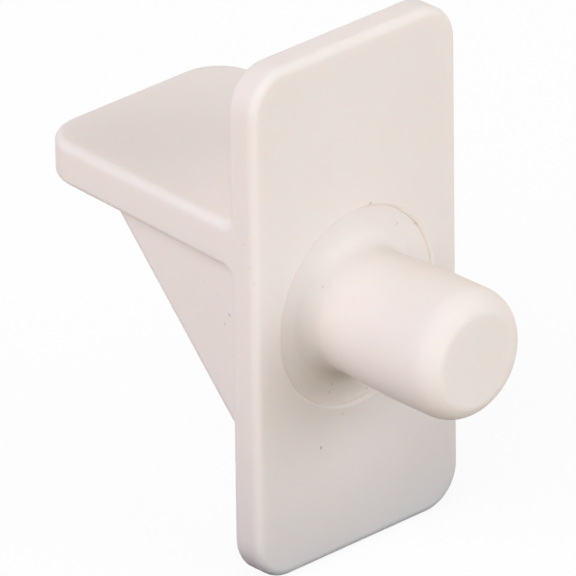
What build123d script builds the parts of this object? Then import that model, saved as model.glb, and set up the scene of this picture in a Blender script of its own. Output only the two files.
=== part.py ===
from build123d import *
import math
import os

# Shelf support pin, one moulded piece, in millimetres.
# The origin is on the peg's axis at the plate's wall face.
# The peg points to -Y, the ledge to +Y, and +Z is up.

# Peg, for a quarter-inch hole
hole_diameter = 6.35
hole_clearance = 0.05
peg_length = 7.8
peg_barrel_length = 2.4
peg_lead_in = 1.25
peg_end_diameter = 4.5
peg_end_round = 0.6
peg_waist = 0.22
peg_root_round = 0.8

# Upright plate
plate_width = 12.7
plate_height = 25.4
plate_thickness = 1.7
plate_corner = 2.0
plate_above_peg = 13.3
edge_round = 0.4

# Shallow recess round the peg's root
recess_diameter = 9.5
recess_depth = 0.2
recess_rim_round = 0.17

# Ledge that carries the shelf, with its sides and underside drafted in degrees
ledge_drop = 7.65
ledge_depth = 13.4
ledge_thickness = 2.25
ledge_corner = 2.3
ledge_under_draft = 0.7
ledge_side_draft = 2.8
ledge_side_blend = 18.0
ledge_top_fillet = 0.4
ledge_under_fillet = 0.5

# Gusset under the ledge
gusset_run = 8.65
gusset_fall = 8.65
gusset_inset = 0.45
gusset_edge_round = 0.6

# Depth by which joined forms run into each other
lap = 0.5

# Faces that meet within this angle, in degrees, are one smooth surface
seam_angle = 1.5

peg_radius = (hole_diameter - hole_clearance) / 2
neck_radius = peg_radius - peg_waist
peg_end_radius = peg_end_diameter / 2
lead_in_start = peg_lead_in - peg_length
barrel_start = lead_in_start + peg_barrel_length
recess_radius = recess_diameter / 2
plate_half = plate_width / 2
plate_bottom = plate_above_peg - plate_height
plate_middle = plate_above_peg - plate_height / 2
ledge_top = plate_above_peg - ledge_drop
ledge_under = ledge_top - ledge_thickness
ledge_end = plate_thickness + ledge_depth
ledge_under_end = ledge_under + ledge_depth * math.tan(math.radians(ledge_under_draft))
draft_start = plate_thickness + ledge_side_blend * math.tan(math.radians(ledge_side_draft / 2))
ledge_tip_half = plate_half - (ledge_end - draft_start) * math.tan(math.radians(ledge_side_draft))


def corner_at(sketch, x, y):
    """The sketch's corner nearest a place."""
    return sketch.vertices().sort_by_distance((x, y))[0]


def across(face):
    """Solid of a side profile of (depth, height), wider than the plate."""
    return extrude(Plane.YZ * face, plate_width, both=True)


def plan_column(inset):
    """Tall solid over the plan of plate and ledge, its sides drawn in by inset."""
    half = plate_half - inset
    tip = ledge_tip_half - inset
    end = ledge_end - inset
    plan = make_face(
        Polyline(
            (-half, 0),
            (half, 0),
            (half, draft_start),
            (tip, end),
            (-tip, end),
            (-half, draft_start),
            close=True,
        )
    )
    for side in (half, -half):
        plan = fillet(corner_at(plan, side, draft_start), ledge_side_blend)
    for side in (tip, -tip):
        plan = fillet(corner_at(plan, side, end), ledge_corner - inset)
    return Pos(0, 0, plate_middle) * extrude(plan, plate_height, both=True)


def sharp_edges(part):
    """Edges where two faces meet at a real angle, without the smooth seams."""
    picked = ShapeList()
    for edge in part.edges():
        middle = edge @ 0.5
        beside = [face for face in part.faces() if any(edge.is_same(other) for other in face.edges())]
        turn = beside[0].normal_at(middle).get_angle(beside[-1].normal_at(middle))
        if turn > seam_angle:
            picked.append(edge)
    return picked


def ring_edge(part, radius, depth):
    """The round edge about the peg's axis nearest a radius and a depth from the wall face."""
    rings = part.edges().filter_by(GeomType.CIRCLE)
    return min(rings, key=lambda ring: abs(ring.radius - radius) + abs(ring.arc_center.Y - depth))


def plate_and_ledge():
    """Plate and ledge with one flush side, and one rounding that runs on through the inner corners."""
    profile = make_face(
        Polyline(
            (0, plate_above_peg),
            (plate_thickness, plate_above_peg),
            (plate_thickness, ledge_top),
            (ledge_end, ledge_top),
            (ledge_end, ledge_under_end),
            (plate_thickness, ledge_under),
            (plate_thickness, plate_bottom),
            (0, plate_bottom),
            close=True,
        )
    )
    profile = fillet(corner_at(profile, plate_thickness, ledge_top), ledge_top_fillet)
    profile = fillet(corner_at(profile, plate_thickness, ledge_under), ledge_under_fillet)
    front = Pos(0, plate_middle) * RectangleRounded(plate_width, plate_height, plate_corner)
    front_column = extrude(Plane.XZ * front, ledge_end + lap, both=True)
    body = across(profile) & front_column & plan_column(0)
    return fillet(sharp_edges(body), edge_round)


def gusset():
    """Wedge in the corner under the ledge, set in from its sides, with its sloping edges rounded."""
    slope = gusset_fall / gusset_run
    wedge = across(
        make_face(
            Polyline(
                (plate_thickness - lap, ledge_under + lap),
                (plate_thickness + gusset_run + lap / slope, ledge_under + lap),
                (plate_thickness - lap, ledge_under - gusset_fall - lap * slope),
                close=True,
            )
        )
    )
    wedge = wedge & plan_column(gusset_inset)
    outward = Vector(0, gusset_fall, -gusset_run)
    sloping_face = max(wedge.faces(), key=lambda face: face.normal_at().dot(outward))
    return fillet(sloping_face.edges().filter_by(Axis.X, reverse=True), gusset_edge_round)


def recess():
    """Round recess to cut from the wall face."""
    section = make_face(
        Polyline(
            (0, -lap),
            (recess_radius, -lap),
            (recess_radius, recess_depth),
            (0, recess_depth),
            close=True,
        )
    )
    return revolve(section, Axis.Y)


def peg():
    """Round peg that widens from its neck to a straight barrel, then rounds in to a flat end."""
    lead_in = TangentArc((peg_radius, lead_in_start), (peg_end_radius, -peg_length), tangent=(0, -1))
    rest = Polyline(
        (peg_end_radius, -peg_length),
        (0, -peg_length),
        (0, recess_depth + lap),
        (neck_radius, recess_depth + lap),
        (neck_radius, recess_depth),
        (peg_radius, barrel_start),
        (peg_radius, lead_in_start),
    )
    section = make_face(lead_in + rest)
    section = fillet(corner_at(section, peg_end_radius, -peg_length), peg_end_round)
    return revolve(section, Axis.Y)


def shelf_pin():
    """The whole moulding."""
    pin = plate_and_ledge() + gusset() - recess() + peg()
    pin = fillet(ring_edge(pin, neck_radius, recess_depth), peg_root_round)
    return fillet(ring_edge(pin, recess_radius, 0), recess_rim_round)


os.makedirs("parts", exist_ok=True)
export_step(shelf_pin(), "parts/shelf_pin.step")
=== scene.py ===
import math

import bmesh
import bpy
from bpy.props import FloatProperty, FloatVectorProperty, PointerProperty
from mathutils import Matrix, Vector


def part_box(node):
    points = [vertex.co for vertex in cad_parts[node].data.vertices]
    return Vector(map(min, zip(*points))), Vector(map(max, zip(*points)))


bl_info = {
    "name": "Shelf support pin",
    "version": (1, 0, 0),
    "blender": (4, 5, 0),
    "location": "3D View > Sidebar > Shelf Pin",
    "description": "Finishes a moulded shelf support pin and sets it on a pale studio stage",
    "category": "Object",
}

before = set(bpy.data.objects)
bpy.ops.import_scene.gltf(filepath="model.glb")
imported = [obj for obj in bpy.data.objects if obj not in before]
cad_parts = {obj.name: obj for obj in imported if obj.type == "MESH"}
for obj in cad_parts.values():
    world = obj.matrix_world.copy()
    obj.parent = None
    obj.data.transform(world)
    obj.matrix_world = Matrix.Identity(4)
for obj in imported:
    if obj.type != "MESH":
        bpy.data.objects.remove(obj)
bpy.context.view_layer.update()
PIN_NODE = "shelf_pin"
PIN_LOW, PIN_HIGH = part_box(PIN_NODE)

MILLIMETRE = 0.001
PER_MILLIMETRE = 1.0 / MILLIMETRE

# Stretch of the rim round the peg's root that is painted paler, as painted light on its shaded wall:
# millimetres, and turns from +X towards +Z
RIM_RADIUS = 4.76
RIM_LIGHT_WIDTH = 0.15
RIM_LIGHT_MIDDLE = math.radians(50.0)
RIM_LIGHT_REACH = math.radians(85.0)
RIM_LIGHT_FULL = math.radians(45.0)

# Depths behind the wall face, in millimetres, between which the rim's painted light fades away
RIM_FADE_FROM = 0.5
RIM_FADE_TO = 1.0

# Dark flecks on the plastic: place and radius in millimetres, and strength
FLECKS = (
    ((3.66, 0.12, 2.96), 0.09, 0.28),
    ((3.77, 0.12, 2.80), 0.11, 0.36),
    ((3.88, 0.12, 2.66), 0.09, 0.28),
    ((0.86, 0.0, 4.86), 0.11, 0.36),
    ((2.72, 0.2, 3.15), 0.10, 0.16),
    ((-2.4, 0.0, -6.32), 0.11, 0.42),
    ((-1.0, 0.0, -5.09), 0.11, 0.12),
    ((-1.5, 0.2, -3.5), 0.10, 0.16),
    ((-1.68, 0.2, -3.82), 0.10, 0.16),
    ((0.7, 0.2, -4.46), 0.10, 0.22),
    ((-2.4, -0.26, 1.89), 0.10, 0.16),
    ((-5.89, 2.19, 0.86), 0.12, 0.26),
    ((-5.88, 2.5, 0.29), 0.11, 0.2),
    ((-5.86, 2.96, 1.58), 0.12, 0.10),
    ((-5.81, 3.92, 1.88), 0.10, 0.10),
    ((-6.34, 0.31, 4.02), 0.10, 0.12),
    ((-6.35, 0.67, 5.04), 0.09, 0.12),
    ((6.33, 0.25, 5.62), 0.14, 0.30),
)

# Share of a mark's radius within which it has its full strength
MARK_CORE_SHARE = 0.35

# Small nicks in the plate's front left edge: place and radius in millimetres, and strength
NICKS = (
    ((-6.28, 0.08, 5.45), 0.14, 1.0),
    ((-6.22, 0.05, 4.3), 0.11, 1.0),
    ((-6.3, 0.12, 3.2), 0.16, 1.0),
    ((-6.24, 0.06, 2.45), 0.12, 1.0),
)
NICK_DIRT_SHARE = 0.02

# Raggedness of the marks' edges, in millimetres
RAGGED_SIZE = 0.25
RAGGED_REACH = 0.15

# Sizes of the patches in the plastic's colour, gloss and relief, in millimetres
CLOUD_SIZE = 7.0
MOTTLE_SIZE = 0.5
DULL_PATCH_SIZE = 1.6
WAVE_SIZE = 5.0
GRAIN_SIZE = 0.22

# Layers of finer noise in the patches, and how strong the mottle's are
FINE_DETAIL = 3.0
MOTTLE_DETAIL = 4.0
MOTTLE_ROUGHNESS = 0.6

# Middle of a noise's colours
NOISE_MIDDLE = (0.5, 0.5, 0.5)

# Share of the mottle beside the clouds, and the tones between which ivory turns to cream
MOTTLE_SHARE = 0.35
CREAM_FROM = 0.4
CREAM_TO = 0.95

# Noise between which the skin goes from its smoothest to its dullest
DULL_FROM = 0.3
DULL_TO = 0.7

# Shares of the glow's depth that red, green and blue light travel
GLOW_SHARES = (1.0, 0.75, 0.6)

# Foot of the plate on the floor, in millimetres: its thickness, and how far about it the floor's glow is
# dark, as a painted shadow
FOOT_THICKNESS = 1.7
FOOT_DARK_TO = 6.5
FOOT_LIGHT_FROM = 13.0

# Gap under the foot, in millimetres, so that its face and the floor don't coincide
FLOOR_GAP = 0.02
FLOOR_LEVEL = PIN_LOW[2] - FLOOR_GAP * MILLIMETRE

# Places of the lamps round the pin: azimuth and elevation, in degrees
LAMP_PLACES = {
    "front": (-17.0, 8.0),
    "left": (73.0, 40.0),
    "ledge": (103.0, 8.0),
    "back": (185.0, 40.0),
    "right": (-107.0, 40.0),
}

# Ends of what the camera sees, as shares of its distance and of the floor's size
NEAR_SHARE = 0.01
FAR_SHARE = 4.0

UP = Vector((0.0, 0.0, 1.0))
WHITE = (1.0, 1.0, 1.0)

# Sockets of the Mix node when it mixes colours
MIX_FIRST = 6
MIX_SECOND = 7
MIX_RESULT = 2


def length_of(name, description, default):
    """Property for a length, in metres."""
    return FloatProperty(name=name, description=description, default=default, unit="LENGTH")


def angle_of(name, description, degrees):
    """Property for an angle, given in degrees."""
    default = math.radians(degrees)
    return FloatProperty(name=name, description=description, default=default, subtype="ANGLE")


def share_of(name, description, default, limit=1.0):
    """Property for a share, or another value from nothing to a limit."""
    return FloatProperty(
        name=name, description=description, default=default, min=0.0, max=limit, subtype="FACTOR"
    )


def power_of(name, description, default):
    """Property for the power of a lamp."""
    return FloatProperty(name=name, description=description, default=default, min=0.0, unit="POWER")


def colour_of(name, description, default):
    """Property for a colour."""
    return FloatVectorProperty(
        name=name, description=description, default=default, min=0.0, max=1.0, subtype="COLOR"
    )


class PlasticSettings(bpy.types.PropertyGroup):
    """Colours and surface of the moulded plastic"""

    ivory: colour_of("Ivory", "Colour of the plain plastic", (0.855, 0.785, 0.745))
    cream: colour_of("Cream", "Warmer colour in the cloudy patches of the plastic", (0.845, 0.77, 0.72))
    # Paler colour painted on the shaded wall of the rim round the peg's root: painted light
    painted_rim_light: colour_of("Painted rim light", "Paler colour of the worn rim round the peg's root", (0.94, 0.87, 0.82))
    grime: colour_of("Grime", "Colour of the flecks", (0.16, 0.10, 0.06))
    roughness: share_of("Roughness", "Middle roughness of the moulded skin", 0.58)
    roughness_spread: share_of(
        "Roughness spread", "How far the roughness wanders either way", 0.06, limit=0.5
    )
    gloss: share_of("Gloss", "Strength of the reflection on the moulded skin", 0.1)
    grain_depth: length_of(
        "Grain depth", "Height of the fine grain that the mould leaves", 0.003 * MILLIMETRE
    )
    sink_depth: length_of(
        "Sink depth", "Height of the slow waves that the plastic sets with", 0.02 * MILLIMETRE
    )
    nick_depth: length_of("Nick depth", "Depth of the nicks in the plate's edge", 0.015 * MILLIMETRE)
    glow_depth: length_of("Glow depth", "How far light travels inside the plastic", 0.8 * MILLIMETRE)
    glow: share_of("Glow", "Share of the light that travels inside the plastic", 0.6)


class StageSettings(bpy.types.PropertyGroup):
    """Camera, floor and lamps"""

    azimuth: angle_of("Azimuth", "Turn of the camera from the peg's axis towards the pin's left", 43.306)
    elevation: angle_of("Elevation", "Height of the camera above the level", 26.212)
    roll: angle_of("Roll", "Turn of the camera about its own line of sight", 0.77)
    distance: length_of("Distance", "From the camera to the point it aims at", 538.17 * MILLIMETRE)
    lens: FloatProperty(
        name="Lens",
        description="Focal length of the camera, in millimetres",
        default=750.0,
        unit="CAMERA",
    )
    aim: FloatVectorProperty(
        name="Aim",
        description="Point in the middle of the picture",
        default=(-4.317 * MILLIMETRE, 0.0, 2.425 * MILLIMETRE),
        subtype="TRANSLATION",
        unit="LENGTH",
    )
    floor_size: length_of("Floor size", "Length of the square floor's side", 3.0)
    shadow: share_of("Shadow", "Share of the floor's look that the pin's shadow can darken", 0.1)
    sky_glow: colour_of("Sky glow", "Even light from all round the pin", (0.03, 0.03, 0.03))
    floor_glow: colour_of("Floor glow", "Light that the floor throws back", (0.505, 0.44, 0.345))
    lamp_distance: length_of("Lamp distance", "From each lamp to the pin", 0.6)
    lamp_size: length_of("Lamp size", "Length of each square lamp's side", 0.6)
    front_power: power_of("Front lamp", "Power of the lamp before the peg", 4.1)
    front_colour: colour_of("Front colour", "Colour of the front lamp", (0.885, 0.93, 1.0))
    left_power: power_of("Left lamp", "Power of the high lamp on the left", 2.85)
    left_colour: colour_of("Left colour", "Colour of the left lamp", (0.92, 0.97, 0.97))
    ledge_power: power_of("Ledge lamp", "Power of the low lamp on the ledge's left", 1.8)
    ledge_colour: colour_of("Ledge colour", "Colour of the ledge lamp", (0.82, 0.75, 1.0))
    back_power: power_of("Back lamp", "Power of the high lamp behind the ledge", 1.05)
    back_colour: colour_of("Back colour", "Colour of the back lamp", (0.82, 0.86, 1.0))
    right_power: power_of("Right lamp", "Power of the high lamp on the right", 1.45)
    right_colour: colour_of("Right colour", "Colour of the right lamp", (1.0, 0.83, 0.68))


def set_inputs(tree, node, inputs):
    """Sets a node's inputs to values, or links them to other nodes' outputs."""
    for name, value in inputs.items():
        if isinstance(value, bpy.types.NodeSocket):
            tree.links.new(value, node.inputs[name])
        else:
            node.inputs[name].default_value = value


def add_node(tree, kind, inputs=None, **settings):
    """New node with its settings, and its inputs set to values or linked to other nodes' outputs."""
    node = tree.nodes.new(kind)
    for name, value in settings.items():
        setattr(node, name, value)
    set_inputs(tree, node, inputs or {})
    return node


def calculate(tree, operation, first, second=0.0):
    """Result of an operation on two values."""
    return add_node(tree, "ShaderNodeMath", {0: first, 1: second}, operation=operation).outputs[0]


def vector_outputs(tree, operation, first, second=(0.0, 0.0, 0.0)):
    """Outputs of an operation on two vectors."""
    return add_node(tree, "ShaderNodeVectorMath", {0: first, 1: second}, operation=operation).outputs


def combined(tree, operation, first, second=(0.0, 0.0, 0.0)):
    """Vector that an operation on two vectors gives."""
    return vector_outputs(tree, operation, first, second)["Vector"]


def measured(tree, operation, first, second=(0.0, 0.0, 0.0)):
    """Value that an operation on two vectors gives."""
    return vector_outputs(tree, operation, first, second)["Value"]


def ramp(tree, value, start, end, low=0.0, high=1.0):
    """Value that goes smoothly from low to high as another goes from start to end."""
    inputs = {"Value": value, "From Min": start, "From Max": end, "To Min": low, "To Max": high}
    return add_node(tree, "ShaderNodeMapRange", inputs, interpolation_type="SMOOTHSTEP").outputs["Result"]


def mix_colours(tree, factor, first, second):
    """Colour between two others."""
    inputs = {0: factor, MIX_FIRST: first, MIX_SECOND: second}
    return add_node(tree, "ShaderNodeMix", inputs, data_type="RGBA").outputs[MIX_RESULT]


def noise(tree, place, feature, detail=2.0, roughness=0.5):
    """Cloudy noise between 0 and 1, with features of a size in millimetres."""
    scale = PER_MILLIMETRE / feature
    inputs = {"Vector": place, "Scale": scale, "Detail": detail, "Roughness": roughness}
    return add_node(tree, "ShaderNodeTexNoise", inputs).outputs["Fac"]


def opaque(colour):
    """Colour with a full alpha, for a node's socket."""
    return (*colour, 1.0)


def metres(place):
    """Vector in metres of a place in millimetres."""
    return tuple(MILLIMETRE * value for value in place)


def new_material(name):
    """Material with an empty node tree."""
    material = bpy.data.materials.new(name)
    material.use_nodes = True
    material.node_tree.nodes.clear()
    return material


def fleck_group():
    """Node group of a round spot with a soft edge, about a centre."""
    group = bpy.data.node_groups.new("Fleck", "ShaderNodeTree")
    for name, kind in (
        ("Place", "NodeSocketVector"),
        ("Centre", "NodeSocketVector"),
        ("Radius", "NodeSocketFloat"),
        ("Strength", "NodeSocketFloat"),
    ):
        group.interface.new_socket(name, in_out="INPUT", socket_type=kind)
    group.interface.new_socket("Mask", in_out="OUTPUT", socket_type="NodeSocketFloat")
    given = add_node(group, "NodeGroupInput").outputs
    away = measured(group, "DISTANCE", given["Place"], given["Centre"])
    share = calculate(group, "DIVIDE", away, given["Radius"])
    spot = ramp(group, share, 1.0, MARK_CORE_SHARE)
    mask = calculate(group, "MULTIPLY", spot, given["Strength"])
    add_node(group, "NodeGroupOutput", {"Mask": mask})
    return group


def spots(tree, group, place, marks):
    """Mask of all the marks, each a centre, a radius and a strength."""
    total = 0.0
    for centre, radius, strength in marks:
        inputs = {
            "Place": place,
            "Centre": metres(centre),
            "Radius": radius * MILLIMETRE,
            "Strength": strength,
        }
        spot = tree.nodes.new("ShaderNodeGroup")
        spot.node_tree = group
        set_inputs(tree, spot, inputs)
        total = calculate(tree, "MAXIMUM", spot.outputs["Mask"], total)
    return total


def painted_rim_light_mask(tree, place):
    """Mask of the painted light on the shaded stretch at the upper right of the rim round the peg's root.
    """
    axes = add_node(tree, "ShaderNodeSeparateXYZ", {"Vector": place}).outputs
    across = add_node(tree, "ShaderNodeCombineXYZ", {"X": axes["X"], "Y": axes["Z"]}).outputs["Vector"]
    radius = measured(tree, "LENGTH", across)
    off_rim = calculate(tree, "ABSOLUTE", calculate(tree, "SUBTRACT", radius, RIM_RADIUS * MILLIMETRE))
    on_rim = ramp(tree, off_rim, RIM_LIGHT_WIDTH * MILLIMETRE, 0.0)
    middle = (math.cos(RIM_LIGHT_MIDDLE), math.sin(RIM_LIGHT_MIDDLE), 0.0)
    along = measured(tree, "DOT_PRODUCT", across, middle)
    turn = calculate(tree, "DIVIDE", along, radius)
    on_stretch = ramp(tree, turn, math.cos(RIM_LIGHT_REACH), math.cos(RIM_LIGHT_FULL))
    on_face = ramp(tree, axes["Y"], RIM_FADE_TO * MILLIMETRE, RIM_FADE_FROM * MILLIMETRE)
    return calculate(tree, "MULTIPLY", calculate(tree, "MULTIPLY", on_rim, on_stretch), on_face)


def ragged_place(tree, place):
    """Place that wanders a little, so that marks drawn on it have uneven edges."""
    scale = PER_MILLIMETRE / RAGGED_SIZE
    wander = add_node(tree, "ShaderNodeTexNoise", {"Vector": place, "Scale": scale}).outputs["Color"]
    centred = combined(tree, "SUBTRACT", wander, NOISE_MIDDLE)
    reach = (RAGGED_REACH * MILLIMETRE,) * len(NOISE_MIDDLE)
    return combined(tree, "ADD", place, combined(tree, "MULTIPLY", centred, reach))


def plastic_colour(tree, place, marks_place, nicks, group, settings):
    """Ivory with cloudy cream patches, painted light on the rim's shaded stretch, and the flecks of
    grime.
    """
    cloud = noise(tree, place, CLOUD_SIZE)
    mottle = noise(tree, place, MOTTLE_SIZE, MOTTLE_DETAIL, MOTTLE_ROUGHNESS)
    tone = calculate(tree, "ADD", cloud, calculate(tree, "MULTIPLY", mottle, MOTTLE_SHARE))
    creamy = ramp(tree, tone, CREAM_FROM, CREAM_TO)
    colour = mix_colours(tree, creamy, opaque(settings.ivory), opaque(settings.cream))
    # Painted light: the rim's shaded stretch is painted paler
    colour = mix_colours(tree, painted_rim_light_mask(tree, place), colour, opaque(settings.painted_rim_light))
    flecks = spots(tree, group, marks_place, FLECKS)
    dirt = calculate(tree, "MAXIMUM", flecks, calculate(tree, "MULTIPLY", nicks, NICK_DIRT_SHARE))
    return mix_colours(tree, dirt, colour, opaque(settings.grime))


def plastic_relief(tree, place, nicks, settings):
    """Normal of slow waves, fine grain and the nicks."""
    waves = calculate(tree, "MULTIPLY", noise(tree, place, WAVE_SIZE), settings.sink_depth)
    fine = noise(tree, place, GRAIN_SIZE, FINE_DETAIL)
    grain = calculate(tree, "MULTIPLY", fine, settings.grain_depth)
    dents = calculate(tree, "MULTIPLY", nicks, settings.nick_depth)
    height = calculate(tree, "SUBTRACT", calculate(tree, "ADD", waves, grain), dents)
    return add_node(tree, "ShaderNodeBump", {"Height": height, "Distance": 1.0}).outputs["Normal"]


def ivory_plastic(settings):
    """Ivory moulded plastic: cloudy tone, fine grain, flecks of grime, painted light on the rim, and
    nicked edges.
    """
    material = new_material("ivory_moulding")
    tree = material.node_tree
    place = add_node(tree, "ShaderNodeTexCoord").outputs["Object"]
    marks_place = ragged_place(tree, place)
    group = fleck_group()
    nicks = spots(tree, group, marks_place, NICKS)
    smoothest = settings.roughness - settings.roughness_spread
    dullest = settings.roughness + settings.roughness_spread
    dull_patches = noise(tree, place, DULL_PATCH_SIZE, FINE_DETAIL)
    skin = add_node(
        tree,
        "ShaderNodeBsdfPrincipled",
        {
            "Base Color": plastic_colour(tree, place, marks_place, nicks, group, settings),
            "Roughness": ramp(tree, dull_patches, DULL_FROM, DULL_TO, smoothest, dullest),
            "Specular IOR Level": settings.gloss,
            "Normal": plastic_relief(tree, place, nicks, settings),
            "Subsurface Weight": settings.glow,
            "Subsurface Radius": GLOW_SHARES,
            "Subsurface Scale": settings.glow_depth,
        },
    )
    add_node(tree, "ShaderNodeOutputMaterial", {"Surface": skin.outputs["BSDF"]})
    return material


def seen_directly(tree):
    """Mask of what the camera sees, straight or in a reflection or through glass."""
    path = add_node(tree, "ShaderNodeLightPath").outputs
    mirrored = calculate(tree, "MAXIMUM", path["Is Glossy Ray"], path["Is Transmission Ray"])
    return calculate(tree, "MAXIMUM", path["Is Camera Ray"], mirrored)


def floor_material(settings):
    """White floor with the pin's faint shadow, that throws no light back near the foot."""
    material = new_material("pale_floor")
    tree = material.node_tree
    place = add_node(tree, "ShaderNodeTexCoord").outputs["Object"]
    foot_half = Vector((PIN_HIGH[0] - PIN_LOW[0], FOOT_THICKNESS * MILLIMETRE, 0.0)) / 2
    foot_centre = (0.0, foot_half.y, FLOOR_LEVEL)
    offset = combined(tree, "ABSOLUTE", combined(tree, "SUBTRACT", place, foot_centre))
    past = combined(tree, "MAXIMUM", combined(tree, "SUBTRACT", offset, foot_half))
    away = measured(tree, "LENGTH", past)
    lit = ramp(tree, away, FOOT_DARK_TO * MILLIMETRE, FOOT_LIGHT_FROM * MILLIMETRE)
    # The floor's glow is painted bounce light, dark near the foot as a painted shadow
    glow = add_node(tree, "ShaderNodeEmission", {"Color": opaque(settings.floor_glow), "Strength": lit})
    white = add_node(tree, "ShaderNodeEmission", {"Color": opaque(WHITE), "Strength": 1.0})
    shade = add_node(tree, "ShaderNodeBsdfDiffuse", {"Color": opaque(WHITE)})
    shown = add_node(
        tree, "ShaderNodeMixShader", {0: settings.shadow, 1: white.outputs[0], 2: shade.outputs[0]}
    )
    both = add_node(
        tree, "ShaderNodeMixShader", {0: seen_directly(tree), 1: glow.outputs[0], 2: shown.outputs[0]}
    )
    add_node(tree, "ShaderNodeOutputMaterial", {"Surface": both.outputs[0]})
    return material


def link_object(name, data):
    """New object of the scene."""
    thing = bpy.data.objects.new(name, data)
    bpy.context.scene.collection.objects.link(thing)
    return thing


def look_at(place, target, roll=0.0):
    """Matrix of a camera or lamp at a place, facing a target."""
    back = (place - target).normalized()
    right = UP.cross(back).normalized()
    up = back.cross(right)
    turned_right = right * math.cos(roll) - up * math.sin(roll)
    turned_up = right * math.sin(roll) + up * math.cos(roll)
    turn = Matrix((turned_right, turned_up, back)).transposed().to_4x4()
    return Matrix.Translation(place) @ turn


def direction(azimuth, elevation):
    """Unit vector from the pin towards a place to its left by azimuth, and up by elevation."""
    level = math.cos(elevation)
    return Vector((-math.sin(azimuth) * level, -math.cos(azimuth) * level, math.sin(elevation)))


def add_floor(settings):
    """Square floor just under the plate's lower edge."""
    shape = bmesh.new()
    bmesh.ops.create_grid(shape, x_segments=1, y_segments=1, size=settings.floor_size / 2)
    bmesh.ops.translate(shape, verts=shape.verts, vec=(0.0, 0.0, FLOOR_LEVEL))
    mesh = bpy.data.meshes.new("floor")
    shape.to_mesh(mesh)
    shape.free()
    mesh.materials.append(floor_material(settings))
    link_object("floor", mesh)


def add_sky(scene, settings):
    """Even light from all round, white where it is seen directly."""
    world = bpy.data.worlds.new("studio")
    scene.world = world
    world.use_nodes = True
    tree = world.node_tree
    tree.nodes.clear()
    colour = mix_colours(tree, seen_directly(tree), opaque(settings.sky_glow), opaque(WHITE))
    sky = add_node(tree, "ShaderNodeBackground", {"Color": colour, "Strength": 1.0})
    add_node(tree, "ShaderNodeOutputWorld", {"Surface": sky.outputs[0]})


def add_lamp(name, settings):
    """Large soft square lamp that faces the pin."""
    lamp = bpy.data.lights.new(name + "_lamp", "AREA")
    lamp.shape = "SQUARE"
    lamp.size = settings.lamp_size
    lamp.energy = getattr(settings, name + "_power")
    lamp.color = getattr(settings, name + "_colour")
    azimuth, elevation = (math.radians(angle) for angle in LAMP_PLACES[name])
    thing = link_object(name + "_lamp", lamp)
    thing.matrix_world = look_at(direction(azimuth, elevation) * settings.lamp_distance, Vector())


def add_camera(scene, settings):
    """Camera at the place that the photograph was taken from."""
    camera = bpy.data.cameras.new("camera")
    camera.lens = settings.lens
    camera.clip_start = settings.distance * NEAR_SHARE
    camera.clip_end = settings.floor_size * FAR_SHARE
    thing = link_object("camera", camera)
    aim = Vector(settings.aim)
    place = aim + direction(settings.azimuth, settings.elevation) * settings.distance
    thing.matrix_world = look_at(place, aim, settings.roll)
    scene.camera = thing


class SHELFPIN_OT_finish_moulding(bpy.types.Operator):
    """Gives the moulding its ivory plastic"""

    bl_idname = "shelf_pin.finish_moulding"
    bl_label = "Finish the moulding"

    def execute(self, context):
        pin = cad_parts[PIN_NODE]
        material = ivory_plastic(context.scene.shelf_pin_plastic)
        for slot in pin.material_slots:
            slot.material = material
        return {"FINISHED"}


class SHELFPIN_OT_set_stage(bpy.types.Operator):
    """Lays the floor, hangs the lamps and places the camera"""

    bl_idname = "shelf_pin.set_stage"
    bl_label = "Set the stage"

    def execute(self, context):
        scene = context.scene
        settings = scene.shelf_pin_stage
        scene.view_settings.view_transform = "Standard"
        add_floor(settings)
        add_sky(scene, settings)
        for name in LAMP_PLACES:
            add_lamp(name, settings)
        add_camera(scene, settings)
        return {"FINISHED"}


class SHELFPIN_PT_panel(bpy.types.Panel):
    """Lists the pin's finish and stage"""

    bl_idname = "SHELFPIN_PT_panel"
    bl_label = "Shelf support pin"
    bl_space_type = "VIEW_3D"
    bl_region_type = "UI"
    bl_category = "Shelf Pin"

    def draw(self, context):
        scene = context.scene
        for settings, operator in (
            (scene.shelf_pin_plastic, SHELFPIN_OT_finish_moulding),
            (scene.shelf_pin_stage, SHELFPIN_OT_set_stage),
        ):
            box = self.layout.box()
            for name in settings.__annotations__:
                box.prop(settings, name)
            box.operator(operator.bl_idname)


CLASSES = (
    PlasticSettings,
    StageSettings,
    SHELFPIN_OT_finish_moulding,
    SHELFPIN_OT_set_stage,
    SHELFPIN_PT_panel,
)


def register():
    """Registers the classes and gives the scene its settings."""
    for each in CLASSES:
        bpy.utils.register_class(each)
    bpy.types.Scene.shelf_pin_plastic = PointerProperty(type=PlasticSettings)
    bpy.types.Scene.shelf_pin_stage = PointerProperty(type=StageSettings)


def unregister():
    """Takes the scene's settings and the classes away again."""
    del bpy.types.Scene.shelf_pin_stage
    del bpy.types.Scene.shelf_pin_plastic
    for each in reversed(CLASSES):
        bpy.utils.unregister_class(each)


def main():
    """Finishes the pin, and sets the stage."""
    register()
    bpy.ops.shelf_pin.finish_moulding()
    bpy.ops.shelf_pin.set_stage()


if __name__ == "__main__":
    main()
